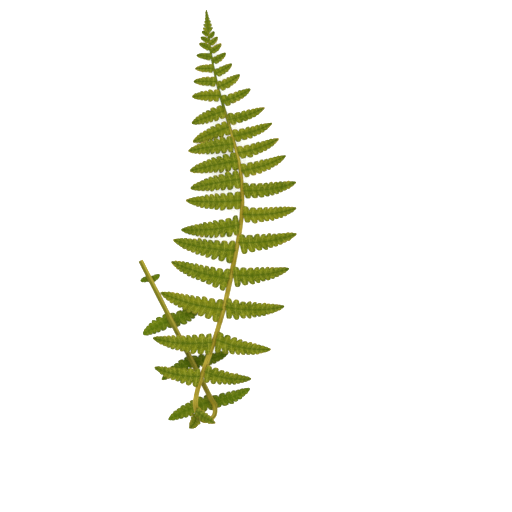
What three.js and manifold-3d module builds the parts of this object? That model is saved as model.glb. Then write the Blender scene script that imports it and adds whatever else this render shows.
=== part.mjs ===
// A fern frond, cut and laid down. The stalk runs from the tip down the middle of the leaf, bends back
// on itself at the bottom in a small loop, and its bare cut end lies on the surface under the leaf.
// Millimetres, +Z up, +Y towards the tip of the leaf. The origin is under the middle of the whole frond.

import * as THREE from "three";
import { mergeVertices } from "three/addons/utils/BufferGeometryUtils.js";
import Module from "manifold-3d";

// The stalk's centre line, from the tip to the cut end: the tip leg, the loop, then the straight stalk leg.
const LYING_HEIGHT = 4.9;
const CENTRE_LINE = [
  [0, 612, 1.4],
  [5.8, 557, 7],
  [18, 498, 13.5],
  [35, 440, 19],
  [50, 382, 24],
  [54, 338, 27],
  [52, 295, 29.5],
  [41.5, 237, 32],
  [29, 178, 34.5],
  [14.5, 127, 36.5],
  [-3, 76, 38.5],
  [-12.4, 47, 39.5],
  [-15.4, 26, 39],
  [-10, 7, 33.5],
  [1.5, -0.5, 22.5],
  [12, 7, 10.5],
  [12, 21, 5.6],
  [7, 30, LYING_HEIGHT],
  [-23.3, 89.4, LYING_HEIGHT],
  [-54.7, 150.9, LYING_HEIGHT],
  [-99.9, 239.5, LYING_HEIGHT],
];
const LOOP_START = 575;
const LOOP_END = 678;

// The stalk thickens from its tip to the middle of the leaf and keeps one thickness from there on.
const TIP_RADIUS = 0.6;
const STALK_RADIUS = 3.6;
const THICKENING_LENGTH = 390;
const THICKENING_POWER = 0.7;
const STALK_SIDES = 8;
const LEG_STEP = 14;
const LOOP_STEP = 5;
const STRAIGHT_STEP = 26;
const STRAIGHT_START = 712;

// The green keel along the upper side of the stalk, which the leaflets run into.
const FIT_GAP = 0.3;
const KEEL_WIDTH = 1.8;
const KEEL_HEIGHT = 1;
const KEEL_END_SETBACK = 2;

// Rules along the stalk: a value at the tip, then its changes, each with the distances it sets in between.
// Leaflet spacing: each gap grows with the distance, crowds at the tip and draws in at the upper middle.
const FIRST_PAIR = 33;
const GAP_RATIO = 0.0802;
const GAP_ORIGIN = 170;
const WIDEST_GAP = 70;
const LAST_PAIR_CLEARANCE = 20;
const CROWDING = { start: 0.62, changes: [[0.38, 40, 75]] };
const DRAWN_IN = { share: 0.14, at: 225, reach: 45 };
const LAG_SHARE = {
  start: 0.38,
  changes: [[0.17, 135, 150], [0.44, 250, 400], [-0.08, 260, 320], [-0.06, 470, 505], [0.12, 540, 600]],
};

// Leaflet length: longest in the middle of the frond, and shorter where the stalk turns over.
const LONGEST_LEAFLET = 100;
const LENGTH_ORIGIN = 0.005;
const LENGTH_POWER = { start: 1, changes: [[-0.3, 644, 874]] };
const LEFT_STRETCH = {
  start: 1,
  changes: [
    [0.07, 90, 125],
    [0.05, 185, 205],
    [-0.05, 240, 260],
    [-0.07, 380, 410],
    [-0.4, 530, 605],
    [0.44, 663, 678],
    [-0.1, 690, 740],
    [0.19, 760, 815],
    [-0.28, 840, 880],
  ],
};
const RIGHT_STRETCH = {
  start: 1,
  changes: [
    [0.1, 100, 130],
    [-0.06, 180, 215],
    [-0.04, 280, 320],
    [-0.04, 330, 400],
    [-0.02, 470, 500],
    [-0.34, 530, 605],
    [0.21, 663, 678],
    [0.19, 690, 740],
    [0.13, 760, 815],
    [-0.28, 840, 880],
  ],
};
const LENGTH_SPREAD = 0.03;

// Lean of a leaflet towards the tip, in degrees off the stalk, and the few that stand out from their row.
const LEFT_LEAN = { start: 54, changes: [[21, 50, 75], [15, 125, 160]] };
const LEFT_STRAYS = [
  [152, 3],
  [178, 6],
  [204, -10],
  [231, -2],
  [258, 5],
  [329, 14],
  [366, 2],
  [409, -4],
  [506, 15],
  [560, 12],
  [618, 40],
  [686, 10.5],
  [750, -6],
  [890, 10],
];
const RIGHT_LEAN = {
  start: 46,
  changes: [[22, 30, 85], [20, 85, 170], [-14, 195, 360], [6, 450, 510], [10, 760, 815]],
};
const RIGHT_STRAYS = [
  [192, -2.5],
  [219, -5],
  [246, -6],
  [353, -4.5],
  [402, -2],
  [451, 4],
  [501, 5],
  [552, 2.3],
  [611, 47],
  [680, -2],
];
const STRAY_REACH = 16;
const LEAN_SPREAD = 2;
const TWIST_SPREAD = 5;
const LEAN_DRAWS = 100;
const TWIST_DRAWS = 200;
const RIGHT_DRAWS = 50;

// Rise and fall of the leaflets: they hang down to just above the surface, and one on the right rests on it
// with its tip. The lower left side passes over the stalk leg, and in the loop they stand up.
const RESTING_LEAFLET = 219;
const RESTING_HEIGHT = 0.33;
const HANGING_HEIGHT = 3.5;
const LEFT_TIP_HEIGHT = { start: HANGING_HEIGHT, changes: [[9.5, 320, 440]] };
const STALK_LEG_RISE = 3;
const STANDING_START = 595;
const STANDING_SHARE = { left: 0.95, right: 0.75 };
const FALL_POWER = 1.7;
const RISE_POWER = 0.85;
const LEFT_BOW = {
  start: 0.01,
  changes: [[-0.045, 260, 300], [-0.015, 440, 500], [0.02, LOOP_START, LOOP_END]],
};
const RIGHT_BOW = { start: 0.05, changes: [[-0.1, LOOP_START, LOOP_END]] };
const ARCH_SHARE = 0.012;
const ARCH_START = 0.3;
const TWIST_START = 20;

// A leaflet's blade: thickness, width, and the slanting lobes along both edges.
const LEAFLET_THICKNESS = 0.8;
const HALF_WIDTH_AT_ROOT = 1.8;
const LEFT_WIDTH_SHARE = {
  start: 0.165,
  changes: [[-0.02, 130, 200], [-0.015, 240, 300], [0.02, 600, 660], [0.06, 760, 815]],
};
const RIGHT_WIDTH_SHARE = { start: 0.165, changes: [[-0.045, 110, 165], [0.03, 600, 660], [0.06, 760, 815]] };
const TAPER_POWER = 2.2;
const TAPER_FULLNESS = 0.8;
const NECK_HALF_WIDTH = 1.1;
const ROOT_DEPTH = 0.4;
const ROOT_CLEARANCE = 0.8;
const LOBE_SLANT = 0.5;
const ROOT_LOBE_SLANT = 0.04;
const LOBE_SLANT_RISE = [-0.05, 0.38];
const FEWEST_LOBES = 2.6;
const LOBE_LENGTH = 14;
const LOBE_SHORTENING = 0.25;
const LOBE_SHOULDER = { step: 0.12, reach: 0.82 };
const LOBE_POINT_STEP = 0.7;
const LOBE_CUT = 0.45;
const LOBE_CUT_GROWTH = 0.2;
const TIP_CUT_SHARE = 0.28;
const LOWER_LOBES = { start: 0, changes: [[0.4, 280, 400], [-0.4, LOOP_START, LOOP_END]] };
const LOWER_LOBES_REACH = 0.22;

// The toothed blade at the frond's tip.
const TIP_BLADE_LENGTH = 40;
const TIP_BLADE_START = 2;
const TIP_BLADE_HALF_WIDTH = 6.8;
const TIP_BLADE_LOBES = 7;
const TIP_BLADE_CUT = 0.5;

const wasm = await Module();
wasm.setup();

const { smoothstep, lerp, degToRad } = THREE.MathUtils;
const centreLine = new THREE.CatmullRomCurve3(CENTRE_LINE.map((point) => new THREE.Vector3(...point)));
centreLine.arcLengthDivisions = 2000;
const STALK_LENGTH = centreLine.getLength();

// The value of a rule at a distance from the tip.
function levelAt({ start, changes }, s) {
  return changes.reduce((level, [change, from, to]) => level + change * smoothstep(s, from, to), start);
}

function hump(value, middle, reach) {
  return Math.exp(-(((value - middle) / reach) ** 2));
}

// A fixed draw between -1 and 1 for each whole number.
function draw(number) {
  const value = Math.sin(number * 12.9898 + 4.1) * 43758.5453;
  return 2 * (value - Math.floor(value)) - 1;
}

function stalkRadius(s) {
  const grown = Math.min(1, s / THICKENING_LENGTH) ** THICKENING_POWER;
  return lerp(TIP_RADIUS, STALK_RADIUS, grown);
}

// Place and directions on the stalk, s millimetres from the tip. In the loop the leaf turns over.
function frameAt(s) {
  const along = centreLine.getTangentAt(THREE.MathUtils.clamp(s / STALK_LENGTH, 0, 1));
  const point = centreLine.getPointAt(THREE.MathUtils.clamp(s / STALK_LENGTH, 0, 1));
  point.addScaledVector(along, Math.min(0, s));
  if (s > LOOP_START) point.z = Math.max(point.z, LYING_HEIGHT);
  const turned = Math.PI * smoothstep(s, LOOP_START, LOOP_END);
  const up = new THREE.Vector3(0, -Math.sin(turned), Math.cos(turned));
  up.addScaledVector(along, -up.dot(along)).normalize();
  const right = new THREE.Vector3().crossVectors(up, along);
  return { point, along, up, right };
}

// Rows for a swept piece, close together in the loop and far apart on the straight leg.
function rowsBetween(from, to) {
  const rows = [from];
  while (rows.at(-1) < to) {
    const s = rows.at(-1);
    const inLoop = s > LOOP_START - LEG_STEP && s < STRAIGHT_START;
    const step = inLoop ? LOOP_STEP : s > LOOP_END ? STRAIGHT_STEP : LEG_STEP;
    rows.push(s + 1.5 * step > to ? to : s + step);
  }
  return rows;
}

// Bends an upright shape of height 1 along the stalk, one of its rows of vertices at each given distance.
function sweep(makeShape, rows, offsets) {
  const geometry = makeShape(rows.length - 1);
  const position = geometry.getAttribute("position");
  for (let i = 0; i < position.count; i += 1) {
    const s = rows[Math.round((0.5 - position.getY(i)) * (rows.length - 1))];
    const { point, up, right } = frameAt(s);
    const [sideways, upwards] = offsets(s, position.getX(i), position.getZ(i));
    point.addScaledVector(right, sideways).addScaledVector(up, upwards);
    position.setXYZ(i, point.x, point.y, point.z);
  }
  return geometry;
}

function stalkGeometry() {
  const rod = (steps) => new THREE.CylinderGeometry(1, 1, 1, STALK_SIDES, steps);
  const offsets = (s, x, z) => [x * stalkRadius(s), z * stalkRadius(s)];
  return sweep(rod, rowsBetween(0, STALK_LENGTH), offsets);
}

function keelGeometry() {
  const bar = (steps) => new THREE.BoxGeometry(KEEL_WIDTH, 1, KEEL_HEIGHT, 1, steps, 1);
  const offsets = (s, x, z) => [x, stalkRadius(s) + FIT_GAP + KEEL_HEIGHT / 2 + z];
  return sweep(bar, rowsBetween(KEEL_END_SETBACK, STALK_LENGTH - KEEL_END_SETBACK), offsets);
}

// Half the width of a lobed blade at a part of its length from 0 to 1.
function halfWidthAt(part, widest) {
  return widest * (1 - part ** TAPER_POWER) ** TAPER_FULLNESS;
}

// A blade's outline and its triangles, flat: t runs along the midrib and w across it. Each step of the midrib
// has a slanting lobe on both sides, cut deep near the root and shallow near the tip.
function lobedBlade({ length, start, lobes, widest, cut, growth, slant }) {
  const points = [];
  const triangles = [];
  const add = (t, w) => points.push([t + slant(t / length) * Math.abs(w), w]) - 1;
  const stationAt = (i) => {
    const gone = i / lobes;
    return start + (length - start) * gone * (1 + LOBE_SHORTENING * (1 - gone));
  };
  const notchAt = (i) => {
    if (i === 0) return NECK_HALF_WIDTH;
    const part = stationAt(i) / length;
    const kept = 1 - cut * lerp(1, TIP_CUT_SHARE, part);
    return Math.max(NECK_HALF_WIDTH * (1 - part), kept * halfWidthAt(part, widest));
  };
  const middles = [points.push([-ROOT_DEPTH, 0]) - 1];
  for (let i = 0; i <= lobes; i += 1) middles.push(points.push([stationAt(i), 0]) - 1);
  for (const side of [1, -1]) {
    const face = (...corners) => triangles.push(side > 0 ? corners : corners.reverse());
    let inner = points.push([-ROOT_DEPTH, side * NECK_HALF_WIDTH]) - 1;
    let outer = points.push([stationAt(0), side * NECK_HALF_WIDTH]) - 1;
    face(middles[0], middles[1], outer);
    face(middles[0], outer, inner);
    for (let i = 0; i < lobes; i += 1) {
      inner = outer;
      const step = stationAt(i + 1) - stationAt(i);
      const middle = (stationAt(i) + step / 2) / length;
      const reach = halfWidthAt(middle, widest) * growth(middle, side);
      const last = i === lobes - 1;
      outer = last ? middles[lobes + 1] : add(stationAt(i + 1), side * notchAt(i + 1));
      const shoulder = add(stationAt(i) + LOBE_SHOULDER.step * step, side * LOBE_SHOULDER.reach * reach);
      if (last) {
        face(middles[i + 1], outer, shoulder);
        face(middles[i + 1], shoulder, inner);
        continue;
      }
      const point = add(stationAt(i) + LOBE_POINT_STEP * step, side * reach);
      face(middles[i + 1], middles[i + 2], outer);
      face(middles[i + 1], outer, inner);
      face(outer, point, shoulder);
      face(outer, shoulder, inner);
    }
  }
  return { points, triangles };
}

// Gives a flat blade its thickness: the same triangles on both faces, and a wall along the free edges.
function thickBlade({ points, triangles }, place) {
  const half = LEAFLET_THICKNESS / 2;
  const layer = (height) => points.flatMap(([t, w]) => place(t, w, height).toArray());
  const vertices = [...layer(half), ...layer(-half)];
  const below = points.length;
  const faces = triangles.flatMap(([a, b, c]) => [a, b, c, below + a, below + c, below + b]);
  const edges = triangles.flatMap(([a, b, c]) => [[a, b], [b, c], [c, a]]);
  const known = new Set(edges.map(([a, b]) => `${a} ${b}`));
  for (const [a, b] of edges) {
    if (!known.has(`${b} ${a}`)) faces.push(below + a, below + b, b, below + a, b, a);
  }
  const geometry = new THREE.BufferGeometry();
  geometry.setAttribute("position", new THREE.Float32BufferAttribute(vertices, 3));
  geometry.setIndex(faces);
  return geometry;
}

function leafletLength(s, side) {
  const swell = Math.sin(Math.PI * (s / STALK_LENGTH + LENGTH_ORIGIN)) ** levelAt(LENGTH_POWER, s);
  return LONGEST_LEAFLET * swell * levelAt(side < 0 ? LEFT_STRETCH : RIGHT_STRETCH, s);
}

// Angle between a leaflet and the stalk towards the tip, in degrees. Both sides open out down the frond, and
// the right side leans back to the tip below the middle.
function leanAt(s, side) {
  const strays = side < 0 ? LEFT_STRAYS : RIGHT_STRAYS;
  const row = levelAt(side < 0 ? LEFT_LEAN : RIGHT_LEAN, s);
  return strays.reduce((lean, [at, angle]) => lean + angle * hump(s, at, STRAY_REACH), row);
}

// Height of a leaflet's tip. Those of the stalk leg lie nearly flat.
function tipHeight(s, side, rootHeight, length) {
  if (s > LOOP_END) return rootHeight + STALK_LEG_RISE;
  const standing = side < 0 ? STANDING_SHARE.left : STANDING_SHARE.right;
  if (s > STANDING_START) return rootHeight + standing * length;
  if (side < 0) return levelAt(LEFT_TIP_HEIGHT, s);
  return lerp(HANGING_HEIGHT, RESTING_HEIGHT, hump(s, RESTING_LEAFLET, STRAY_REACH / 2));
}

function leafletGeometry(s, side, number) {
  const { point, along, up, right } = frameAt(s);
  const length = leafletLength(s, side) * (1 + LENGTH_SPREAD * draw(number));
  const lean = degToRad(leanAt(s, side) + LEAN_SPREAD * draw(number + LEAN_DRAWS));
  const twist = degToRad(s > LOOP_END ? 0 : TWIST_SPREAD * draw(number + TWIST_DRAWS));
  const radius = stalkRadius(s);
  const root = point.addScaledVector(up, radius + FIT_GAP + KEEL_HEIGHT / 2);
  const outward = right.multiplyScalar(side * Math.sin(lean)).addScaledVector(along, -Math.cos(lean));
  outward.setZ(0).normalize();
  const across = new THREE.Vector3(0, 0, Math.sign(up.z)).cross(outward);
  const fall = root.z - tipHeight(s, side, root.z, length);
  const reach = Math.sqrt(length ** 2 - fall ** 2);
  const fallPower = fall > 0 ? FALL_POWER : RISE_POWER;
  const bow = levelAt(side < 0 ? LEFT_BOW : RIGHT_BOW, s) * length;
  const widthShare = side < 0 ? LEFT_WIDTH_SHARE : RIGHT_WIDTH_SHARE;
  const widest = HALF_WIDTH_AT_ROOT + levelAt(widthShare, s) * length;
  const arch = ARCH_SHARE * length;

  const midrib = (part) => {
    const place = root.clone().addScaledVector(outward, reach * part);
    place.addScaledVector(across, -4 * bow * part * (1 - part));
    place.z -= fall * Math.max(0, part) ** fallPower;
    return place;
  };
  const place = (t, w, height) => {
    const part = t / length;
    const tangent = midrib(part + 0.01).sub(midrib(part - 0.01));
    const normal = tangent.cross(across).normalize();
    const twisted = w * Math.sin(twist) * smoothstep(t, 0, TWIST_START);
    const arched = arch * smoothstep(part, 0, ARCH_START) * (w / widest) ** 2;
    const lift = height + twisted - arched;
    return midrib(part).addScaledVector(across, w).addScaledVector(normal, lift);
  };
  const lowerLobes = levelAt(LOWER_LOBES, s);
  const growth = (part, edge) => (edge * side > 0 ? 1 : 1 + lowerLobes * hump(part, 0, LOWER_LOBES_REACH));
  const outline = lobedBlade({
    length,
    start: radius + ROOT_CLEARANCE,
    lobes: Math.round(FEWEST_LOBES + length / LOBE_LENGTH),
    widest,
    cut: LOBE_CUT + LOBE_CUT_GROWTH * (length / LONGEST_LEAFLET),
    growth,
    slant: (part) => lerp(ROOT_LOBE_SLANT, LOBE_SLANT, smoothstep(part, ...LOBE_SLANT_RISE)),
  });
  return thickBlade(outline, place);
}

// The toothed point at the frond's tip, which follows the stalk and runs a little past its end.
function tipBladeGeometry() {
  const place = (t, w, height) => {
    const s = FIRST_PAIR - t;
    const { point, up, right } = frameAt(s);
    const level = stalkRadius(Math.max(0, s)) + FIT_GAP + KEEL_HEIGHT / 2 + height;
    return point.addScaledVector(up, level).addScaledVector(right, -w);
  };
  const outline = lobedBlade({
    length: TIP_BLADE_LENGTH,
    start: TIP_BLADE_START,
    lobes: TIP_BLADE_LOBES,
    widest: TIP_BLADE_HALF_WIDTH,
    cut: TIP_BLADE_CUT,
    growth: () => 1,
    slant: () => LOBE_SLANT,
  });
  return thickBlade(outline, place);
}

function solidOf(geometry) {
  geometry.deleteAttribute("normal");
  geometry.deleteAttribute("uv");
  const merged = mergeVertices(geometry, 1e-4);
  const vertProperties = new Float32Array(merged.getAttribute("position").array);
  const triVerts = new Uint32Array(merged.getIndex().array);
  return new wasm.Manifold(new wasm.Mesh({ numProp: 3, vertProperties, triVerts }));
}

function geometryOf(solid) {
  const { vertProperties, triVerts } = solid.getMesh();
  const geometry = new THREE.BufferGeometry();
  geometry.setAttribute("position", new THREE.BufferAttribute(vertProperties, 3));
  geometry.setIndex(new THREE.BufferAttribute(triVerts, 1));
  geometry.computeVertexNormals();
  return geometry;
}

// Every leaflet of the frond. The gaps between them widen from the tip down, and each right-hand leaflet
// stands a little lower than its left-hand fellow, up to nearly a whole gap on the lower part.
function leafletSolids() {
  const solids = [];
  const end = STALK_LENGTH - LAST_PAIR_CLEARANCE;
  let number = 0;
  let s = FIRST_PAIR;
  while (s < end) {
    const drawnIn = 1 - DRAWN_IN.share * hump(s, DRAWN_IN.at, DRAWN_IN.reach);
    const gap = Math.min(WIDEST_GAP, GAP_RATIO * (s + GAP_ORIGIN) * levelAt(CROWDING, s) * drawnIn);
    const lag = gap * levelAt(LAG_SHARE, s);
    solids.push(solidOf(leafletGeometry(s, -1, number)));
    if (s + lag < end) solids.push(solidOf(leafletGeometry(s + lag, 1, number + RIGHT_DRAWS)));
    number += 1;
    s += gap;
  }
  return solids;
}

function bladeGeometry() {
  const pieces = [keelGeometry(), tipBladeGeometry()].map(solidOf);
  const joined = [...pieces, ...leafletSolids()].reduce((whole, piece) => whole.add(piece));
  return geometryOf(joined.simplify(0.01));
}

const frond = new THREE.Group();
const stalk = new THREE.Mesh(
  stalkGeometry(),
  new THREE.MeshStandardMaterial({ color: 0xb59a3c, roughness: 0.55, metalness: 0 }),
);
stalk.name = "stalk";
const blade = new THREE.Mesh(
  bladeGeometry(),
  new THREE.MeshStandardMaterial({ color: 0x76861c, roughness: 0.6, metalness: 0 }),
);
blade.name = "blade";
frond.add(stalk, blade);

const box = new THREE.Box3().setFromObject(frond, true);
frond.position.set(-(box.min.x + box.max.x) / 2, -(box.min.y + box.max.y) / 2, -box.min.z);

const root = new THREE.Group();
root.add(frond);
export default root;
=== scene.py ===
# %% [markdown]
# # A fern frond, cut and laid down
# The frond lies flat. Its stalk runs from the pointed tip down the middle of the leaf, bends back on
# itself in a small loop at the bottom, and ends in a bare cut end under the leaf. The solids that
# come with the part give the size and the place of everything, so they are loaded first and their
# box is kept.

# %% Load the frame
import bisect
import math

import bmesh
import bpy
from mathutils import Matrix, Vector


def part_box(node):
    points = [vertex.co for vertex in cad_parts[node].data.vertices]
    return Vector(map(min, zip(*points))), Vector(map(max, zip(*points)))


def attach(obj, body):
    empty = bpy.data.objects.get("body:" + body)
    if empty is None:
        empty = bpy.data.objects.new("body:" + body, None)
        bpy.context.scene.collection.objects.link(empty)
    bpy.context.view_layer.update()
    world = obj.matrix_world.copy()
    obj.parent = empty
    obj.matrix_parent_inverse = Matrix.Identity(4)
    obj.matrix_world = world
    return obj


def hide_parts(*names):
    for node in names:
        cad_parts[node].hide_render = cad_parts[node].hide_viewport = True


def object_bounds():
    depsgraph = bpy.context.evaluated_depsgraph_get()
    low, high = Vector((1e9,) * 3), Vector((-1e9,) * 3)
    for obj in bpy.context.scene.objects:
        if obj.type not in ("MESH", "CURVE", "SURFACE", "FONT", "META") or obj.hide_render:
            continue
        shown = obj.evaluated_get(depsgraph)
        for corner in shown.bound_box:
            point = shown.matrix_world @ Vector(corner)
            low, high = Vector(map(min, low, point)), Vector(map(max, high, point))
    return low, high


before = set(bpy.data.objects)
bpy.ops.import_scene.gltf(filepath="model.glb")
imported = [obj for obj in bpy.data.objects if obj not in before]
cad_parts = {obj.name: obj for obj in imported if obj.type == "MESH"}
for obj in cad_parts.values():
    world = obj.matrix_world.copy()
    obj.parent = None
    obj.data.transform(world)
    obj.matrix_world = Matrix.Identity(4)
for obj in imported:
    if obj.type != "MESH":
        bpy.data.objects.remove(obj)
cad_box = [list(corner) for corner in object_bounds()]
print("solids' box:", cad_box)

# %% [markdown]
# ## Small helpers
# A plant repeats itself with small differences. A fixed draw gives each leaflet its own number
# between -1 and 1, the same one on every run. The soft step blends one rule into the next along the
# stalk, and the hump picks out one place on it.

# %% Soft step, hump and fixed draw
MM = 0.001
DRAW_STEP = 12.9898
DRAW_START = 4.1
DRAW_SCALE = 43758.5453


def soft_step(value, low, high):
    part = min(1.0, max(0.0, (value - low) / (high - low)))
    return part * part * (3 - 2 * part)


def blend(low, high, part):
    return low + (high - low) * part


def draw(number):
    value = math.sin(number * DRAW_STEP + DRAW_START) * DRAW_SCALE
    return 2 * (value - math.floor(value)) - 1


def hump(value, middle, width):
    return math.exp(-(((value - middle) / width) ** 2))


print("first draws:", [round(draw(n), 2) for n in range(4)])

# %% [markdown]
# ## The stalk's centre line
# Everything hangs on one line from the tip to the cut end. A Blender curve could hold it, but each
# leaflet needs the place and the direction at its own distance from the tip, so the line is sampled
# here: a smooth curve through a few measured points, with a table of the length gone so far. All
# measures of the frond are in millimetres.

# %% Sample the centre line
LYING_HEIGHT = 4.9
CENTRE_LINE = [
    (0, 612, 1.4), (5.8, 557, 7), (18, 498, 13.5), (35, 440, 19), (50, 382, 24), (54, 338, 27),
    (52, 295, 29.5), (41.5, 237, 32), (29, 178, 34.5), (14.5, 127, 36.5), (-3, 76, 38.5),
    (-12.4, 47, 39.5), (-15.4, 26, 39), (-10, 7, 33.5), (1.5, -0.5, 22.5), (12, 7, 10.5),
    (12, 21, 5.6), (7, 30, LYING_HEIGHT), (-23.3, 89.4, LYING_HEIGHT),
    (-54.7, 150.9, LYING_HEIGHT), (-99.9, 239.5, LYING_HEIGHT),
]
SAMPLES_PER_SPAN = 80


def sample_line(measured, per_span):
    knots = [Vector(point) for point in measured]
    knots = [2 * knots[0] - knots[1]] + knots + [2 * knots[-1] - knots[-2]]
    samples = []
    for a, b, c, d in zip(knots, knots[1:], knots[2:], knots[3:]):
        before, here, after = (math.sqrt((q - p).length) for p, q in ((a, b), (b, c), (c, d)))
        leave = ((b - a) / before - (c - a) / (before + here) + (c - b) / here) * here
        arrive = ((c - b) / here - (d - b) / (here + after) + (d - c) / after) * here
        for step in range(per_span):
            u = step / per_span
            bend = (3 * (c - b) - 2 * leave - arrive) * u * u
            samples.append(b + leave * u + bend + (2 * (b - c) + leave + arrive) * u**3)
    return samples + [knots[-2]]


line = sample_line(CENTRE_LINE, SAMPLES_PER_SPAN)
travelled = [0.0]
for here, there in zip(line, line[1:]):
    travelled.append(travelled[-1] + (there - here).length)
STALK_LENGTH = travelled[-1]
print("stalk length in mm:", round(STALK_LENGTH, 1))

# %% [markdown]
# At each distance from the tip the frond has a point and three directions: along the stalk to its
# cut end, up out of the leaf's upper face, and to the right. In the loop the upper face turns over,
# so the stalk leg below shows the underside of its leaflets. The stalk is thin at the tip and has
# its full thickness from below the middle on.

# %% Place and directions on the stalk
LOOP_START = 575
LOOP_END = 678
PROBE = 0.4


def point_at(s):
    inside = min(STALK_LENGTH, max(0.0, s))
    index = min(len(line) - 2, max(0, bisect.bisect_right(travelled, inside) - 1))
    part = (inside - travelled[index]) / (travelled[index + 1] - travelled[index])
    return line[index].lerp(line[index + 1], part)


def directions_at(s):
    inside = min(STALK_LENGTH, max(0.0, s))
    along = (point_at(inside + PROBE) - point_at(inside - PROBE)).normalized()
    point = point_at(s) + along * min(0.0, s)
    if s > LOOP_START:
        point.z = max(point.z, LYING_HEIGHT)
    turned = math.pi * soft_step(s, LOOP_START, LOOP_END)
    up = Vector((0, -math.sin(turned), math.cos(turned)))
    up = (up - along * up.dot(along)).normalized()
    return point, along, up, up.cross(along)


print("point at the cut end:", [round(x, 1) for x in directions_at(STALK_LENGTH)[0]])

# %% Thickness of the stalk
TIP_RADIUS = 0.6
STALK_RADIUS = 3.6
FULL_RADIUS_AT = 390
RADIUS_POWER = 0.7


def stalk_radius(s):
    grown = min(1.0, max(0.0, s) / FULL_RADIUS_AT) ** RADIUS_POWER
    return blend(TIP_RADIUS, STALK_RADIUS, grown)


print("radius at 100 mm from the tip:", round(stalk_radius(100), 2))

# %% [markdown]
# ## The stalk
# A fern's stalk isn't a round rod: it is a little broader than thick, with a channel along its upper
# side and two fine furrows along its back; its finish paints shade as a darker stripe in one of them.
# A curve with a bevel would be quick but round, so a flat grid is rolled into a tube instead: one side
# of the grid becomes the distance from the tip and the other the angle around the stalk, and the seam
# is merged. The cut end is filled and inset for its pale flesh.

# %% Roll a grid into a tube
SEAM_GAP = 0.001


def roll_tube(bm, columns, sides, place, along_layer=None, seam_gap=SEAM_GAP):
    made = bmesh.ops.create_grid(bm, x_segments=columns, y_segments=sides, size=1)["verts"]
    for vert in made:
        part, angle = (vert.co.x + 1) / 2, math.pi * (vert.co.y + 1)
        if along_layer:
            vert[along_layer] = part
        vert.co = place(part, angle)
    bmesh.ops.remove_doubles(bm, verts=made, dist=seam_gap)
    return [vert for vert in made if vert.is_valid]


def close_ends(bm, verts):
    rims = list({edge for vert in verts for edge in vert.link_edges if edge.is_boundary})
    return bmesh.ops.holes_fill(bm, edges=rims)["faces"]


# %% Turn a mesh into a piece of the frond
def finish_mesh(bm, name, materials, body="root"):
    mesh = bpy.data.meshes.new(name)
    bm.to_mesh(mesh)
    bm.free()
    for material in materials:
        mesh.materials.append(material)
    mesh.shade_smooth()
    piece = bpy.data.objects.new(name, mesh)
    bpy.context.scene.collection.objects.link(piece)
    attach(piece, body)
    print(name, "faces:", len(mesh.polygons))
    return piece


# %% The stalk's section and its mesh
STALK_COLUMNS = 480
STALK_SIDES = 20
STALK_BREADTH = 1.08
CHANNEL_DEPTH = 0.10
CHANNEL_WIDTH = 0.28
CHANNEL_RISE = (0.2, 0.8)
FURROW_DEPTH = 0.07
FURROWS = ((0.5, 0.16), (-0.42, 0.14))
FURROW_RISE = (0, 0.5)
WANDER_SHARE = 0.02
QUICK_WANDER = 0.11
SLOW_WANDER = 0.031
WANDER_START = 1.3


def stalk_place(part, angle):
    s = part * STALK_LENGTH
    point, _, up, right = directions_at(s)
    aside, above = math.cos(angle), math.sin(angle)
    channel = CHANNEL_DEPTH * hump(aside, 0, CHANNEL_WIDTH) * soft_step(above, *CHANNEL_RISE)
    furrows = FURROW_DEPTH * sum(hump(aside, middle, width) for middle, width in FURROWS)
    furrows *= soft_step(-above, *FURROW_RISE)
    wander = WANDER_SHARE * math.sin(QUICK_WANDER * s + WANDER_START) * math.sin(SLOW_WANDER * s)
    radius = stalk_radius(s) * (1 - channel - furrows + wander)
    return point + right * (STALK_BREADTH * radius * aside) + up * (radius * above)


stalk_mesh = bmesh.new()
for name in ("along_stalk", "aside", "above"):
    stalk_mesh.verts.layers.float.new(name)
along_stalk, aside_layer, above_layer = stalk_mesh.verts.layers.float.values()
skin = roll_tube(stalk_mesh, STALK_COLUMNS, STALK_SIDES, stalk_place, along_stalk)
low = Vector(min(vert.co[i] for vert in skin) for i in range(3))
high = Vector(max(vert.co[i] for vert in skin) for i in range(3))
print("stalk's own box in mm:", [round(x, 1) for x in low], [round(x, 1) for x in high])

# %% [markdown]
# The points above are in the frond's own millimetres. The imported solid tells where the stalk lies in
# the shared frame, so the shift between the two boxes is all the fitting that is needed.

# %% Shift to the shared frame
stalk_low, stalk_high = (Vector(corner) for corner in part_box("stalk"))
SHIFT = (stalk_low + stalk_high) / 2 - (low + high) * (MM / 2)
print("shift in mm:", [round(x / MM, 2) for x in SHIFT])


def in_frame(point):
    return point * MM + SHIFT


# %% [markdown]
# ## Node helpers for the materials
# All finishes are drawn with nodes. A few helpers keep the cells below short: they add a node, link
# or set its inputs, and return its output.

# %% Helpers for finishes and sums
def new_finish(name, roughness, specular):
    material = bpy.data.materials.new(name)
    material.use_nodes = True
    shader = material.node_tree.nodes["Principled BSDF"]
    shader.inputs["Roughness"].default_value = roughness
    shader.inputs["Specular IOR Level"].default_value = specular
    return material, material.node_tree, shader


def feed(tree, socket, value):
    if isinstance(value, bpy.types.NodeSocket):
        tree.links.new(value, socket)
    elif isinstance(value, tuple) and len(value) == 3 and socket.type == "RGBA":
        socket.default_value = (*value, 1)
    else:
        socket.default_value = value


def calculate(tree, operation, *values):
    node = tree.nodes.new("ShaderNodeMath")
    node.operation = operation
    for socket, value in zip(node.inputs, values):
        feed(tree, socket, value)
    return node.outputs[0]


def share(tree, value, part):
    return calculate(tree, "MULTIPLY", value, part)


# %% Helpers for colours, slopes and speckles
MIX_FIRST, MIX_SECOND, MIX_RESULT = 6, 7, 2


def mix_colour(tree, part, first, second):
    node = tree.nodes.new("ShaderNodeMix")
    node.data_type = "RGBA"
    feed(tree, node.inputs["Factor"], part)
    feed(tree, node.inputs[MIX_FIRST], first)
    feed(tree, node.inputs[MIX_SECOND], second)
    return node.outputs[MIX_RESULT]


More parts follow.
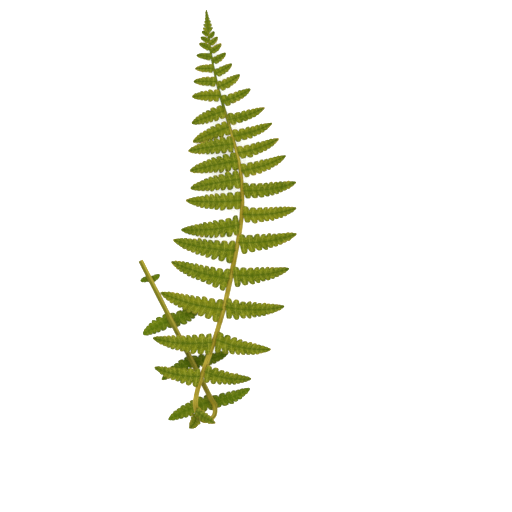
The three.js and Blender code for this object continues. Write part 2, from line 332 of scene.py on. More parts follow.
def rise(tree, value, low, high):
    node = tree.nodes.new("ShaderNodeMapRange")
    node.interpolation_type = "SMOOTHSTEP"
    feed(tree, node.inputs["Value"], value)
    node.inputs["From Min"].default_value = low
    node.inputs["From Max"].default_value = high
    return node.outputs["Result"]


def fall(tree, value, low, high):
    return calculate(tree, "SUBTRACT", 1.0, rise(tree, value, low, high))


def read(tree, name):
    node = tree.nodes.new("ShaderNodeAttribute")
    node.attribute_name = name
    return node.outputs["Fac"]


def speckle(tree, scale, detail):
    place = tree.nodes.new("ShaderNodeTexCoord").outputs["Object"]
    node = tree.nodes.new("ShaderNodeTexNoise")
    node.inputs["Scale"].default_value = scale
    node.inputs["Detail"].default_value = detail
    tree.links.new(place, node.inputs["Vector"])
    return node.outputs["Fac"]


def add_bump(tree, shader, height, distance, strength):
    node = tree.nodes.new("ShaderNodeBump")
    node.inputs["Distance"].default_value = distance
    node.inputs["Strength"].default_value = strength
    feed(tree, node.inputs["Height"], height)
    tree.links.new(node.outputs["Normal"], shader.inputs["Normal"])


# %% [markdown]
# ## The stalk's finish
# Near the tip the stalk is green like the leaf. From about a fifth of the way down it ripens to a
# golden tan, with fine fibres and a darker stripe of painted shade in a furrow along its back. The
# stalk leg shows its back: painted shade makes it olive on one side and a painted highlight makes it
# tan on the other. The colours follow the surface, so the mesh carries three numbers for the nodes to
# read: the distance along the stalk, and how far a point lies aside of and above its middle.

# %% Stalk numbers and mesh in the frame
RIND = 0.45
CUT_HOLLOW = 0.15
for vert in skin:
    s = vert[along_stalk] * STALK_LENGTH
    point, _, up, right = directions_at(s)
    vert[aside_layer] = (vert.co - point).dot(right) / stalk_radius(s)
    vert[above_layer] = (vert.co - point).dot(up) / stalk_radius(s)
    vert[along_stalk] = s
    vert.co = in_frame(vert.co)
caps = close_ends(stalk_mesh, skin)
cut_face = max(caps, key=lambda face: -face.calc_center_median().x)
bmesh.ops.inset_individual(
    stalk_mesh, faces=[cut_face], thickness=RIND * MM, depth=-CUT_HOLLOW * MM
)
cut_face.material_index = 1
bmesh.ops.recalc_face_normals(stalk_mesh, faces=stalk_mesh.faces)
print("cut end at:", [round(x / MM, 1) for x in cut_face.calc_center_median()])

# %% Gold with a darker stripe of painted shade
STALK_ROUGHNESS = 0.55
STALK_GLOSS = 0.04
DEEP_GOLD = (0.215, 0.165, 0.008)
LIGHT_GOLD = (0.305, 0.247, 0.025)
FIBRE_BROWN = (0.19, 0.14, 0.010)
FIBRE_SHARE = 0.5
# painted shade: darker olive for the stripe in the back furrow
FURROW_SHADE_OLIVE = (0.085, 0.080, 0.004)
FURROW_SHADE_SHARE = 0.85
FURROW_SHADE_ASIDE = 0.48
FURROW_SHADE_FADE = (0.12, 0.36)
stalk_skin, tree, shader = new_finish("stalk_skin", STALK_ROUGHNESS, STALK_GLOSS)
aside = read(tree, "aside")
patches = speckle(tree, 45, 3)
fibres = speckle(tree, 420, 3)
gold = mix_colour(tree, rise(tree, patches, 0.3, 0.7), DEEP_GOLD, LIGHT_GOLD)
fibre_part = share(tree, rise(tree, fibres, 0.55, 0.8), FIBRE_SHARE)
gold = mix_colour(tree, fibre_part, gold, FIBRE_BROWN)
# Painted shade: a darker olive stripe along one furrow on the stalk's back.
off_furrow = calculate(tree, "ABSOLUTE", calculate(tree, "SUBTRACT", aside, FURROW_SHADE_ASIDE))
back = rise(tree, share(tree, read(tree, "above"), -1.0), 0.0, 0.4)
furrow_shade = calculate(tree, "MULTIPLY", fall(tree, off_furrow, *FURROW_SHADE_FADE), back)
gold = mix_colour(tree, share(tree, furrow_shade, FURROW_SHADE_SHARE), gold, FURROW_SHADE_OLIVE)
print("nodes so far:", len(tree.nodes))

# %% Stalk leg with painted shade and highlight, gold and young green along the stalk
# Painted light on the stalk leg: olive shade on one side, a tan highlight on the other.
LEG_SHADE_OLIVE = (0.108, 0.112, 0.004)
LEG_HIGHLIGHT_TAN = (0.285, 0.245, 0.026)
LEG_SHARE = 0.88
LEG_START = (640, 760)
YOUNG_DARK = (0.050, 0.082, 0.0008)
YOUNG_LIGHT = (0.092, 0.122, 0.002)
RIPENING = (190, 310)
RIPENING_SPREAD = 160.0
distance = read(tree, "along_stalk")
# painted shade on one side of the stalk leg, painted highlight on the other
shade_and_highlight = mix_colour(tree, rise(tree, aside, 0.0, 0.4), LEG_SHADE_OLIVE, LEG_HIGHLIGHT_TAN)
leg = mix_colour(tree, LEG_SHARE, gold, shade_and_highlight)
ripe = mix_colour(tree, rise(tree, distance, *LEG_START), gold, leg)
young = mix_colour(tree, patches, YOUNG_DARK, YOUNG_LIGHT)
ripening = calculate(tree, "ADD", distance, share(tree, patches, RIPENING_SPREAD))
stalk_colour = mix_colour(tree, rise(tree, ripening, *RIPENING), young, ripe)
tree.links.new(stalk_colour, shader.inputs["Base Color"])
add_bump(tree, shader, fibres, 0.2 * MM, 0.35)
print("nodes in the stalk skin:", len(tree.nodes))

# %% Pale flesh at the cut end
FLESH_BROWN = (0.20, 0.12, 0.03)
FLESH_PALE = (0.50, 0.38, 0.14)
cut_flesh, tree, shader = new_finish("cut_flesh", 0.7, 0.2)
pith = rise(tree, speckle(tree, 700, 2), 0.35, 0.7)
flesh = mix_colour(tree, pith, FLESH_BROWN, FLESH_PALE)
tree.links.new(flesh, shader.inputs["Base Color"])
add_bump(tree, shader, pith, 0.3 * MM, 0.5)
print("nodes in the flesh:", len(tree.nodes))

# %% Finish the stalk
stalk = finish_mesh(stalk_mesh, "stalk_fine", [stalk_skin, cut_flesh])
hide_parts("stalk")

# %% [markdown]
# ## Where the leaflets stand
# The gaps between the leaflets widen from the tip down, and each right-hand leaflet stands a little
# lower than its left-hand fellow. Each leaflet gets a length, a lean towards the tip and a height for
# its own tip. These are the rules of the solids, so every fine leaflet lies where its solid does. A
# rule is a first level and a list of changes, each with the stretch of stalk that it comes in over.

# %% Leaflet stations
FIRST_PAIR = 33.0
BARE_END = 20
WIDEST_GAP = 70
GAP_GROWTH = 0.0802
GAP_ORIGIN = 170
CROWDING = (0.62, [(0.38, 40, 75)])
DRAWN_IN_SHARE = 0.14
DRAWN_IN_AT = 225
DRAWN_IN_REACH = 45
LAG_SHARE = (0.38, [
    (0.17, 135, 150), (0.44, 250, 400), (-0.08, 260, 320), (-0.06, 470, 505), (0.12, 540, 600),
])
RIGHT_NUMBERS = 50


def level_at(rule, s):
    start, changes = rule
    return start + sum(change * soft_step(s, low, high) for change, low, high in changes)


def leaflet_stations():
    end = STALK_LENGTH - BARE_END
    number, s = 0, FIRST_PAIR
    while s < end:
        drawn_in = 1 - DRAWN_IN_SHARE * hump(s, DRAWN_IN_AT, DRAWN_IN_REACH)
        gap = GAP_GROWTH * (s + GAP_ORIGIN) * level_at(CROWDING, s) * drawn_in
        gap = min(WIDEST_GAP, gap)
        lag = gap * level_at(LAG_SHARE, s)
        yield s, -1, number
        if s + lag < end:
            yield s + lag, 1, number + RIGHT_NUMBERS
        number, s = number + 1, s + gap


stations = list(leaflet_stations())
print("leaflets:", len(stations))

# %% Leaflet length
LONGEST_LEAFLET = 100
LENGTH_ORIGIN = 0.005
LENGTH_POWER = (1, [(-0.3, 644, 874)])
STRETCH = {
    -1: (1, [
        (0.07, 90, 125), (0.05, 185, 205), (-0.05, 240, 260), (-0.07, 380, 410),
        (-0.4, 530, 605), (0.44, 663, 678), (-0.1, 690, 740), (0.19, 760, 815),
        (-0.28, 840, 880),
    ]),
    1: (1, [
        (0.1, 100, 130), (-0.06, 180, 215), (-0.04, 280, 320), (-0.04, 330, 400),
        (-0.02, 470, 500), (-0.34, 530, 605), (0.21, 663, 678), (0.19, 690, 740),
        (0.13, 760, 815), (-0.28, 840, 880),
    ]),
}


def leaflet_length(s, side):
    swell = math.sin(math.pi * (s / STALK_LENGTH + LENGTH_ORIGIN)) ** level_at(LENGTH_POWER, s)
    return LONGEST_LEAFLET * swell * level_at(STRETCH[side], s)


print("longest in mm:", round(max(leaflet_length(s, side) for s, side, _ in stations)))

# %% Leaflet lean
LEAN = {
    -1: (54, [(21, 50, 75), (15, 125, 160)]),
    1: (46, [(22, 30, 85), (20, 85, 170), (-14, 195, 360), (6, 450, 510), (10, 760, 815)]),
}
STRAYS = {
    -1: [
        (152, 3), (178, 6), (204, -10), (231, -2), (258, 5), (329, 14), (366, 2), (409, -4),
        (506, 15), (560, 12), (618, 40), (686, 10.5), (750, -6), (890, 10),
    ],
    1: [
        (192, -2.5), (219, -5), (246, -6), (353, -4.5), (402, -2), (451, 4), (501, 5), (552, 2.3),
        (611, 47), (680, -2),
    ],
}
STRAY_REACH = 16


def leaflet_lean(s, side):
    strays = sum(angle * hump(s, at, STRAY_REACH) for at, angle in STRAYS[side])
    return level_at(LEAN[side], s) + strays


print("lean of the first leaflet in degrees:", round(leaflet_lean(*stations[0][:2])))

# %% Height of a leaflet's tip
HANGING_HEIGHT = 3.5
RESTING_HEIGHT = 0.33
RESTING_LEAFLET = 219
STALK_LEG_RISE = 3
LEFT_TIP_HEIGHT = (HANGING_HEIGHT, [(9.5, 320, 440)])
STANDING_FROM = 595
STANDING_SHARE = {-1: 0.95, 1: 0.75}


def leaflet_tip_height(s, side, root_height, length):
    if s > LOOP_END:
        return root_height + STALK_LEG_RISE
    if s > STANDING_FROM:
        return root_height + STANDING_SHARE[side] * length
    if side < 0:
        return level_at(LEFT_TIP_HEIGHT, s)
    return blend(HANGING_HEIGHT, RESTING_HEIGHT, hump(s, RESTING_LEAFLET, STRAY_REACH / 2))


print("tip of the resting leaflet at:", leaflet_tip_height(RESTING_LEAFLET, 1, 0, 0))

# %% [markdown]
# ## A leaflet's surface
# A leaflet is a thin sheet on a midrib that bows sideways and falls to the ground. A flat sheet could
# be bent with modifiers, but lobes and ribs have to follow the same bend, so one function gives a
# placing rule for a leaflet: t runs along the midrib, w across it, and height stands off the sheet.

# %% Placing rule of one leaflet
KEEL_LEVEL = 0.8
LENGTH_SPREAD = 0.03
LEAN_SPREAD = 2
LEAN_DRAWS = 100
TWIST_SPREAD = 5
TWIST_DRAWS = 200
TWIST_FULL_AT = 20
FALL_POWER = 1.7
RISE_POWER = 0.85
ARCH_SHARE = 0.012
ARCH_FULL_AT = 0.3
SLOPE_PROBE = 0.01
LOWEST_SHEET = 0.35
HALF_WIDTH_AT_ROOT = 1.8
HALF_WIDTH_SHARE = {
    -1: (0.165, [(-0.02, 130, 200), (-0.015, 240, 300), (0.02, 600, 660), (0.06, 760, 815)]),
    1: (0.165, [(-0.045, 110, 165), (0.03, 600, 660), (0.06, 760, 815)]),
}
BOW = {
    -1: (0.01, [(-0.045, 260, 300), (-0.015, 440, 500), (0.02, LOOP_START, LOOP_END)]),
    1: (0.05, [(-0.1, LOOP_START, LOOP_END)]),
}


def leaflet_surface(s, side, number):
    point, along, up, right = directions_at(s)
    length = leaflet_length(s, side) * (1 + LENGTH_SPREAD * draw(number))
    lean = math.radians(leaflet_lean(s, side) + LEAN_SPREAD * draw(number + LEAN_DRAWS))
    twist = math.radians(0 if s > LOOP_END else TWIST_SPREAD * draw(number + TWIST_DRAWS))
    root = point + up * (stalk_radius(s) + KEEL_LEVEL)
    outward = right * (side * math.sin(lean)) - along * math.cos(lean)
    outward = Vector((outward.x, outward.y, 0)).normalized()
    across = Vector((0, 0, math.copysign(1, up.z))).cross(outward)
    drop = root.z - leaflet_tip_height(s, side, root.z, length)
    reach = math.sqrt(length**2 - drop**2)
    drop_power = FALL_POWER if drop > 0 else RISE_POWER
    bow = level_at(BOW[side], s) * length
    widest = HALF_WIDTH_AT_ROOT + level_at(HALF_WIDTH_SHARE[side], s) * length
    arch = ARCH_SHARE * length

    def midrib(part):
        place = root + outward * (reach * part) - across * (4 * bow * part * (1 - part))
        place.z -= drop * max(0.0, part) ** drop_power
        return place

    def place(t, w, height):
        part = t / length
        slope = midrib(part + SLOPE_PROBE) - midrib(part - SLOPE_PROBE)
        normal = slope.cross(across).normalized()
        lift = height + w * math.sin(twist) * soft_step(t, 0, TWIST_FULL_AT)
        lift -= arch * soft_step(part, 0, ARCH_FULL_AT) * (w / widest) ** 2
        spot = midrib(part) + across * w + normal * lift
        spot.z = max(spot.z, LOWEST_SHEET)
        return spot

    return length, widest, place


print("length of the first leaflet in mm:", round(leaflet_surface(*stations[0])[0], 1))

# %% [markdown]
# ## A lobed sheet
# A leaflet of this frond is cut into rows of oblong, round-ended lobes that lean towards its tip. The
# outline could be drawn by hand and filled, but the veins should follow every lobe, so the sheet
# starts as a flat grid. Each column of the grid belongs to a place in a lobe, and the rows are pulled
# in at the notches and out at the lobe ends. Shallow relief along the midrib and the lobe veins is
# modelled in the same pass. The sheet also keeps, for its finish, how far each point is from the
# midrib, from the edge, and along its lobe.

# %% Lobe outline
LOBE_ROUNDNESS = 2.6
LOBE_FULLNESS = 0.6
TIP_CUT_SHARE = 0.28
TAPER_POWER = 2.2


def lobe_reach(part, phase, cut):
    kept = 1 - cut * blend(1, TIP_CUT_SHARE, part)
    rounded = max(0.0, 1 - abs(2 * phase - 1) ** LOBE_ROUNDNESS) ** LOBE_FULLNESS
    return kept + (1 - kept) * rounded


def envelope(part, widest, taper):
    return widest * max(0.0, 1 - max(0.0, part) ** TAPER_POWER) ** taper


print("reach in a notch:", round(lobe_reach(0.3, 0, 0.6), 2))
print("reach at a lobe's middle:", lobe_reach(0.3, 0.5, 0.6))

# %% Where a point of the sheet lies on its leaflet
LOBE_COLUMNS = 10
NECK_COLUMNS = 2
NECK_LENGTH = NECK_COLUMNS / LOBE_COLUMNS
NECK_INTO_KEEL = 0.4
NECK_END = (-0.02, 0.16)
ROOT_LOBE_SHARE = 1.25
LOBE_SPREAD = 0.07
LOBE_DRAWS = 7
NUMBERS_PER_LEAFLET = 40


def sheet_spot(leaf, lobe, aside):
    grown = max(0.0, lobe)
    gone, phase = grown / leaf["lobes"], grown % 1
    t = blend(leaf["start"], leaf["length"], gone * blend(ROOT_LOBE_SHARE, 1, gone))
    t += min(0.0, lobe) / NECK_LENGTH * (leaf["start"] + NECK_INTO_KEEL)
    part = t / leaf["length"]
    number = leaf["number"] * NUMBERS_PER_LEAFLET + 2 * math.floor(grown) + (aside > 0)
    own = 1 + LOBE_SPREAD * draw(number + LOBE_DRAWS) * math.sin(math.pi * phase)
    wide = envelope(part, leaf["widest"], leaf["taper"]) * lobe_reach(part, phase, leaf["cut"])
    wide *= leaf["growth"](part, aside) * own
    half = blend(leaf["neck"], wide, soft_step(lobe, *NECK_END))
    return t, phase, half, draw(number)


# %% Relief of the sheet
CURL = 0.7
LOBE_SWELL = 0.3
VEIN_DEPTH = 0.22
VEIN_WIDTH = 0.09
RIB_DEPTH = 0.25
RIB_WIDTH = 0.9


def sheet_relief(aside, w, phase, own_curl):
    swell = math.sin(math.pi * phase)
    curl = CURL * own_curl * aside**2 * swell
    vein = VEIN_DEPTH * hump(phase, 0.5, VEIN_WIDTH) * (1 - abs(aside))
    return curl + LOBE_SWELL * abs(aside) * swell - vein - RIB_DEPTH * hump(w, 0, RIB_WIDTH)


print("relief on the midrib in mm:", round(sheet_relief(0, 0, 0, 0), 2))

# %% Lobed sheet from a grid
SHEET_NUMBERS = ("lobe", "from_rib", "from_edge", "tone", "turned")
HALF_ROWS = 5
ROW_CROWDING = 1.25
TONE_DRAWS = 300


def sheet_layers(bm):
    return {name: bm.verts.layers.float.new(name) for name in SHEET_NUMBERS}


def add_sheet(bm, layers, leaf, place):
    columns, rows = leaf["lobes"] * LOBE_COLUMNS + NECK_COLUMNS, 2 * HALF_ROWS
    made = bmesh.ops.create_grid(bm, x_segments=columns, y_segments=rows, size=1)["verts"]
    for vert in made:
        lobe = (round((vert.co.x + 1) / 2 * columns) - NECK_COLUMNS) / LOBE_COLUMNS
        aside = math.copysign(abs(vert.co.y) ** ROW_CROWDING, vert.co.y)
        t, phase, half, own_curl = sheet_spot(leaf, lobe, aside)
        w = aside * half
        vert[layers["lobe"]] = lobe
        vert[layers["from_rib"]] = w
        vert[layers["from_edge"]] = half - abs(w) + leaf["fresh"]
        vert[layers["tone"]] = draw(leaf["number"] + TONE_DRAWS)
        vert[layers["turned"]] = leaf["turned"]
        slanted = t + leaf["slant"](t / leaf["length"]) * abs(w)
        vert.co = in_frame(place(slanted, w, sheet_relief(aside, w, phase, own_curl)))


# %% [markdown]
# The midrib stands out a little from both faces of the sheet, and it is what joins the leaflet to the
# stalk. It is rolled from a grid as the stalk was, thin and tapered.

# %% Midrib
RIB_COLUMNS = 26
RIB_SIDES = 7
RIB_REACH = 0.96
RIB_TIP_RADIUS = 0.12
RIB_TAPER = 0.7
RIB_SINK = 0.2


def add_midrib(bm, layers, leaf, place):
    def rib_place(part, angle):
        t = blend(-NECK_INTO_KEEL, RIB_REACH * leaf["length"], part)
        radius = blend(leaf["rib"], RIB_TIP_RADIUS, part**RIB_TAPER)
        height = radius * math.sin(angle) - RIB_SINK
        return in_frame(place(t, radius * math.cos(angle), height))

    verts = roll_tube(bm, RIB_COLUMNS, RIB_SIDES, rib_place, seam_gap=SEAM_GAP * MM)
    for vert in verts:
        vert[layers["turned"]] = leaf["turned"]
        vert[layers["tone"]] = draw(leaf["number"] + TONE_DRAWS)
    close_ends(bm, verts)


# %% [markdown]
# ## The leaf's finishes
# The upper face is a worn olive green: a darker line of painted shade along the midrib groove, painted
# shadow in the clefts between the lobes, pale veins that run up the middle of each lobe and fork to
# its sides, stronger in some patches than in others, uneven yellowing, and tan edges where the lobes
# dry out. The underside is a fresher green with fainter veins and edges, and there the same painted
# lines are a mid green. One function builds both from their own colours, and reads the numbers that
# the sheet carries.

# %% Leaf green
LEAF_GLOSS = 0.015
PATCH_CONTRAST = (0.36, 0.64)
TONE_SHARE = 0.35
AGEING = (0.35, 1.0)
FLECK_CONTRAST = (0.5, 0.66)
FLECK_SHARE = 0.85
DEEP_REACH = (1.0, 6.0)
DEEP_SHARE = 0.6


def leaf_green(tree, colours, from_rib, grain):
    patches = speckle(tree, 140, 4)
    green = mix_colour(
        tree, rise(tree, patches, *PATCH_CONTRAST), colours["dark"], colours["light"]
    )
    ageing = calculate(tree, "ADD", share(tree, read(tree, "tone"), TONE_SHARE), patches)
    green = mix_colour(tree, rise(tree, ageing, *AGEING), green, colours["worn"])
    flecks = share(tree, rise(tree, grain, *FLECK_CONTRAST), FLECK_SHARE)
    green = mix_colour(tree, flecks, green, colours["fleck"])
    deep = share(tree, fall(tree, from_rib, *DEEP_REACH), DEEP_SHARE)
    return mix_colour(tree, deep, green, colours["deep"])


# %% Leaf veins, and painted shadow in the clefts between lobes
LOBE_VEIN_EDGE = (0.02, 0.10)
FORK_SLOPE = 6.0
FORK_SPACING = 1.15
FORK_EDGE = (0.10, 0.45)
FORK_SHARE = 0.8
# painted shadow near the notches between lobes
CLEFT_SHADOW_EDGE = (0.40, 0.5)


def leaf_veins_and_cleft_shadow(tree, from_rib):
    off_middle = calculate(tree, "SUBTRACT", calculate(tree, "FRACT", read(tree, "lobe")), 0.5)
    off_middle = calculate(tree, "ABSOLUTE", off_middle)
    fork = calculate(tree, "SUBTRACT", from_rib, share(tree, off_middle, FORK_SLOPE))
    fork = calculate(tree, "PINGPONG", fork, FORK_SPACING)
    fork = share(tree, fall(tree, fork, *FORK_EDGE), FORK_SHARE)
    veins = calculate(tree, "MAXIMUM", fall(tree, off_middle, *LOBE_VEIN_EDGE), fork)
    # The second value is painted shadow in the clefts between lobes.
    return veins, rise(tree, off_middle, *CLEFT_SHADOW_EDGE)


# %% Leaf finish
VEIN_PATCHES = (0.35, 0.65)
CLEFT_SHADOW_SHARE = 0.4
# painted shade along the midrib groove
RIB_GROOVE_SHADE = (0.3, 1.3)
RIB_GROOVE_SHADE_SHARE = 0.7
DRY_RAGGEDNESS = 6.0
DRY_EDGE = (-3.4, -1.6)
RELIEF_SHARE = 0.5


def leaf_finish(name, colours, vein_strength, dry, roughness):
    material, tree, shader = new_finish(name, roughness, LEAF_GLOSS)
    from_rib = calculate(tree, "ABSOLUTE", read(tree, "from_rib"))
    grain = speckle(tree, 520, 4)
    veins, cleft_shadow = leaf_veins_and_cleft_shadow(tree, from_rib)
    blotches = speckle(tree, 60, 3)
    half = 0.5 * vein_strength
    strength = calculate(tree, "MULTIPLY_ADD", rise(tree, blotches, *VEIN_PATCHES), half, half)
    colour = leaf_green(tree, colours, from_rib, grain)
    colour = mix_colour(
        tree, calculate(tree, "MULTIPLY", veins, strength), colour, colours["vein"]
    )
    # Painted shadow in the clefts between lobes, in the "rib" colour.
    colour = mix_colour(tree, share(tree, cleft_shadow, CLEFT_SHADOW_SHARE), colour, colours["rib"])
    # Painted shade: a darker line along the midrib groove, in the "rib" colour.
    rib_groove_shade = share(tree, fall(tree, from_rib, *RIB_GROOVE_SHADE), RIB_GROOVE_SHADE_SHARE)
    colour = mix_colour(tree, rib_groove_shade, colour, colours["rib"])
    ragged = share(tree, blotches, DRY_RAGGEDNESS)
    ragged = calculate(tree, "SUBTRACT", read(tree, "from_edge"), ragged)
    drying = share(tree, fall(tree, ragged, *DRY_EDGE), dry)
    colour = mix_colour(tree, drying, colour, colours["dry"])
    tree.links.new(colour, shader.inputs["Base Color"])
    sunken = share(tree, veins, RELIEF_SHARE)
    height = calculate(tree, "SUBTRACT", share(tree, grain, RELIEF_SHARE), sunken)
    add_bump(tree, shader, height, 0.25 * MM, 0.5)
    print(name, "nodes:", len(tree.nodes))
    return material


# %% Upper side and underside
# In both finishes the "rib" colour is painted shade, for the midrib groove and the clefts between
# lobes; on the underside it is a mid green close to the green around it.
leaf_upper = leaf_finish("leaf_upper", {
    "dark": (0.044, 0.072, 0.0003), "light": (0.090, 0.120, 0.0006),
    "worn": (0.120, 0.130, 0.001), "fleck": (0.215, 0.222, 0.011),
    "vein": (0.248, 0.258, 0.028), "rib": (0.038, 0.070, 0.0005),
    "deep": (0.050, 0.088, 0.0003), "dry": (0.280, 0.205, 0.024),
}, vein_strength=0.75, dry=0.75, roughness=0.6)
leaf_under = leaf_finish("leaf_under", {
    "dark": (0.036, 0.078, 0.0003), "light": (0.068, 0.118, 0.0006),
    "worn": (0.088, 0.124, 0.001), "fleck": (0.172, 0.206, 0.010),
    "vein": (0.205, 0.232, 0.022), "rib": (0.060, 0.108, 0.0006),
    "deep": (0.050, 0.100, 0.0004), "dry": (0.190, 0.160, 0.012),
}, vein_strength=0.65, dry=0.4, roughness=0.65)

# %% Rib finish
RIB_UPPER = ((0.048, 0.084, 0.001), (0.085, 0.120, 0.002))
RIB_UNDER = ((0.058, 0.105, 0.001), (0.085, 0.130, 0.003))
leaf_rib, tree, shader = new_finish("leaf_rib", 0.6, 0.03)
upper = mix_colour(tree, speckle(tree, 200, 2), *RIB_UPPER)
under = mix_colour(tree, speckle(tree, 200, 2), *RIB_UNDER)
rib_colour = mix_colour(tree, read(tree, "turned"), upper, under)
tree.links.new(rib_colour, shader.inputs["Base Color"])
print("leaf_rib nodes:", len(tree.nodes))

# %% [markdown]
# ## The leaflets
# The frond is sorted into its left row, its right row and the row on the stalk leg. Each row is one
# piece, so that it can be picked and hidden alone in the editor. The sheets get their thickness from a
# Solidify modifier, which also gives the back of the sheet the underside's finish.

# %% Leaflet of one station
LEAFLET_TAPER = 0.68
FEWEST_LOBES = 2.8
LENGTH_PER_LOBE = 11
CUT_DEPTH = (0.16, [(0.25, 15, 50), (0.06, 50, 100)])
LOWER_LOBES = (0, [(0.4, 280, 400), (-0.4, LOOP_START, LOOP_END)])
LOWER_LOBE_REACH = 0.22
ROOT_LOBE_SLANT = -0.15
LOBE_SLANT = 0.5
LOBE_SLANT_RISE = (-0.05, 0.38)
LOW_START = 0.2
START_SHARE = 0.8
NECK_HALF_WIDTH = (3.2, [(-2.1, 90, 260), (2.9, LOOP_END, 700)])
NECK_SHARE = 0.6
RIB_RADIUS = 0.5
RIB_RADIUS_GROWTH = 0.002


def leaflet(s, side, number):
    length, widest, place = leaflet_surface(s, side, number)
    lower_lobes = level_at(LOWER_LOBES, s)

    def growth(part, w):
        return 1 if w * side > 0 else 1 + lower_lobes * hump(part, 0, LOWER_LOBE_REACH)

    def slant(part):
        return blend(ROOT_LOBE_SLANT, LOBE_SLANT, soft_step(part, *LOBE_SLANT_RISE))

    leaf = {
        "number": number, "length": length, "widest": widest, "taper": LEAFLET_TAPER,
        "start": LOW_START if s > STANDING_FROM else START_SHARE * stalk_radius(s),
        "lobes": round(FEWEST_LOBES + length / LENGTH_PER_LOBE),
        "cut": level_at(CUT_DEPTH, length),
        "rib": RIB_RADIUS + RIB_RADIUS_GROWTH * length,
        "neck": min(level_at(NECK_HALF_WIDTH, s), NECK_SHARE * widest),
        "turned": soft_step(s, LOOP_START, LOOP_END), "fresh": 0,
        "growth": growth, "slant": slant,
    }
    return leaf, place


# %% Rows of leaflets
SHEET_THICKNESS = 0.5


def thicken(piece):
    thickness = piece.modifiers.new("thickness", "SOLIDIFY")
    thickness.thickness = SHEET_THICKNESS * MM
    thickness.offset = 0
    thickness.material_offset = 1


def leaflet_row(name, chosen):
    sheets, ribs = bmesh.new(), bmesh.new()
    sheet_numbers, rib_numbers = sheet_layers(sheets), sheet_layers(ribs)
    for station in chosen:
        leaf, place = leaflet(*station)
        add_sheet(sheets, sheet_numbers, leaf, place)
        add_midrib(ribs, rib_numbers, leaf, place)
    bmesh.ops.recalc_face_normals(ribs, faces=ribs.faces)
    row = finish_mesh(sheets, name, [leaf_upper, leaf_under])
    thicken(row)
    midribs = finish_mesh(ribs, name + "_midribs", [leaf_rib])
    for piece in (row, midribs):
        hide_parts("blade")


main_leg = [station for station in stations if station[0] < LOOP_END]
leaflet_row("left_leaflets", [station for station in main_leg if station[1] < 0])
leaflet_row("right_leaflets", [station for station in main_leg if station[1] > 0])
leaflet_row("stalk_leg_leaflets", [station for station in stations if station[0] >= LOOP_END])

# %% [markdown]
# ## The tip and the keel
# The frond ends in one toothed blade that follows the stalk, made with the same lobed sheet. A low
# green keel runs along the stalk's upper side, and the leaflets grow out of it. Towards the tip it is
# broad enough to show as a narrow wing on both sides of the stalk, and lower down it is slim.

# %% Tip blade
TIP_TAPER = 0.6
TIP_FRESHNESS = 1.2
TIP_LOBE_GROWTH = (1.3, 0.65)
TIP_LOBE_SLANT = 0.8


def tip_place(t, w, height):
    s = FIRST_PAIR - t
    point, _, up, right = directions_at(s)
    return point + up * (stalk_radius(s) + KEEL_LEVEL + height) - right * w


tip_leaf = {
    "number": 99, "length": 40, "widest": 6.6, "taper": TIP_TAPER, "start": 2,
    "lobes": 7, "cut": 0.6, "neck": 1.5, "turned": 0, "fresh": TIP_FRESHNESS,
    "growth": lambda part, w: blend(*TIP_LOBE_GROWTH, soft_step(part, 0, 0.7)),
    "slant": lambda part: TIP_LOBE_SLANT,
}
tip_mesh = bmesh.new()
add_sheet(tip_mesh, sheet_layers(tip_mesh), tip_leaf, tip_place)
tip = finish_mesh(tip_mesh, "tip_blade", [leaf_upper, leaf_under])
thicken(tip)

# %% Keel
KEEL_SIDES = 10
KEEL_END_GAP = 2
KEEL_MIDDLE = 0.45
KEEL_HALF_HEIGHT = 0.8
KEEL_HALF_WIDTH = (1.75, [(-0.85, 140, 280)])
KEEL_POINT = (-10, 30)


def keel_distance(part):
    return blend(KEEL_END_GAP, STALK_LENGTH - KEEL_END_GAP, part)


def keel_place(part, angle):
    s = keel_distance(part)
    point, _, up, right = directions_at(s)
    level = stalk_radius(s) + KEEL_MIDDLE + KEEL_HALF_HEIGHT * math.sin(angle)
    half_width = level_at(KEEL_HALF_WIDTH, s) * soft_step(s, *KEEL_POINT)
    return point + up * level + right * (half_width * math.cos(angle))


keel_mesh = bmesh.new()
along_keel = keel_mesh.verts.layers.float.new("along_stalk")
ridge = roll_tube(keel_mesh, STALK_COLUMNS, KEEL_SIDES, keel_place, along_keel)
for vert in ridge:
    vert[along_keel] = keel_distance(vert[along_keel])
    vert.co = in_frame(vert.co)
close_ends(keel_mesh, ridge)
bmesh.ops.recalc_face_normals(keel_mesh, faces=keel_mesh.faces)
keel = finish_mesh(keel_mesh, "keel", [stalk_skin])
for piece in (tip, keel):
    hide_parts("blade")

# %% [markdown]
# ## Floor, light and camera
# The frond lies on a plain white floor under wide, even light. The floor glows a little, as a light
# table does, so the shadows on it stay faint. The camera hangs far above it and looks straight down,
# so the frond shows almost without perspective.

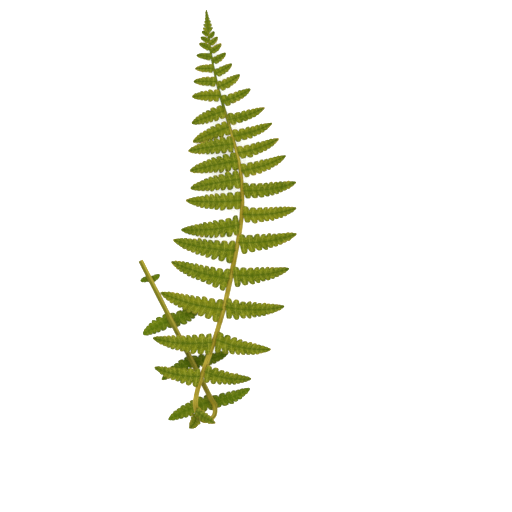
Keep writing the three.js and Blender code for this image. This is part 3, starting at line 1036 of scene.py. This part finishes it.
# %% Floor
FLOOR_HALF_SIZE = 6
FLOOR_GAP = 0.2
FLOOR_GLOW = 0.5
PAPER_GREYS = ((0.92, 0.92, 0.92), (0.95, 0.95, 0.95))
WHITE = (1, 1, 1, 1)
floor_mesh = bmesh.new()
bmesh.ops.create_grid(floor_mesh, x_segments=2, y_segments=2, size=FLOOR_HALF_SIZE)
mesh = bpy.data.meshes.new("floor")
floor_mesh.to_mesh(mesh)
floor_mesh.free()
floor = bpy.data.objects.new("floor", mesh)
floor.location.z = cad_box[0][2] - FLOOR_GAP * MM
bpy.context.scene.collection.objects.link(floor)
floor_white, tree, shader = new_finish("floor_white", 0.9, 0.1)
shader.inputs["Emission Color"].default_value = WHITE
shader.inputs["Emission Strength"].default_value = FLOOR_GLOW
paper = mix_colour(tree, speckle(tree, 6, 2), *PAPER_GREYS)
tree.links.new(paper, shader.inputs["Base Color"])
mesh.materials.append(floor_white)
print("floor at height:", round(floor.location.z, 5))

# %% Light
LAMP_SIZE = 2.4
SKY_STRENGTH = 1.0


def soft_light(name, place, power):
    lamp = bpy.data.lights.new(name, "AREA")
    lamp.shape = "SQUARE"
    lamp.size = LAMP_SIZE
    lamp.energy = power
    light = bpy.data.objects.new(name, lamp)
    light.location = place
    light.rotation_euler = (-Vector(place)).to_track_quat("-Z", "Y").to_euler()
    bpy.context.scene.collection.objects.link(light)
    print(name, "watts:", lamp.energy)


soft_light("key_light", (-1.2, 1.2, 2.6), 66)
soft_light("fill_light", (1.6, -0.8, 2.4), 34)
world = bpy.data.worlds.new("studio")
world.use_nodes = True
sky = world.node_tree.nodes["Background"]
sky.inputs["Color"].default_value = WHITE
sky.inputs["Strength"].default_value = SKY_STRENGTH
bpy.context.scene.world = world
bpy.context.scene.view_settings.view_transform = "Standard"

# %% Camera
MM_PER_PIXEL = 1.5
PIXELS = 512
LENS = 100
SENSOR = 36
TIP_PIXEL = (206, 9.5)
TIP_OVERHANG = 4
TRUE_SCALE_HEIGHT = 0.02
camera_data = bpy.data.cameras.new("camera")
camera_data.lens = LENS
camera_data.sensor_width = SENSOR
camera = bpy.data.objects.new("camera", camera_data)
pixel = MM * MM_PER_PIXEL
tip_point = in_frame(directions_at(-TIP_OVERHANG)[0])
tip_to_middle = Vector((PIXELS / 2 - TIP_PIXEL[0], TIP_PIXEL[1] - PIXELS / 2))
middle = Vector((tip_point.x, tip_point.y)) + pixel * tip_to_middle
camera.location = (middle.x, middle.y, TRUE_SCALE_HEIGHT + pixel * PIXELS * LENS / SENSOR)
bpy.context.scene.collection.objects.link(camera)
bpy.context.scene.camera = camera
print("camera at:", [round(x, 3) for x in camera.location])
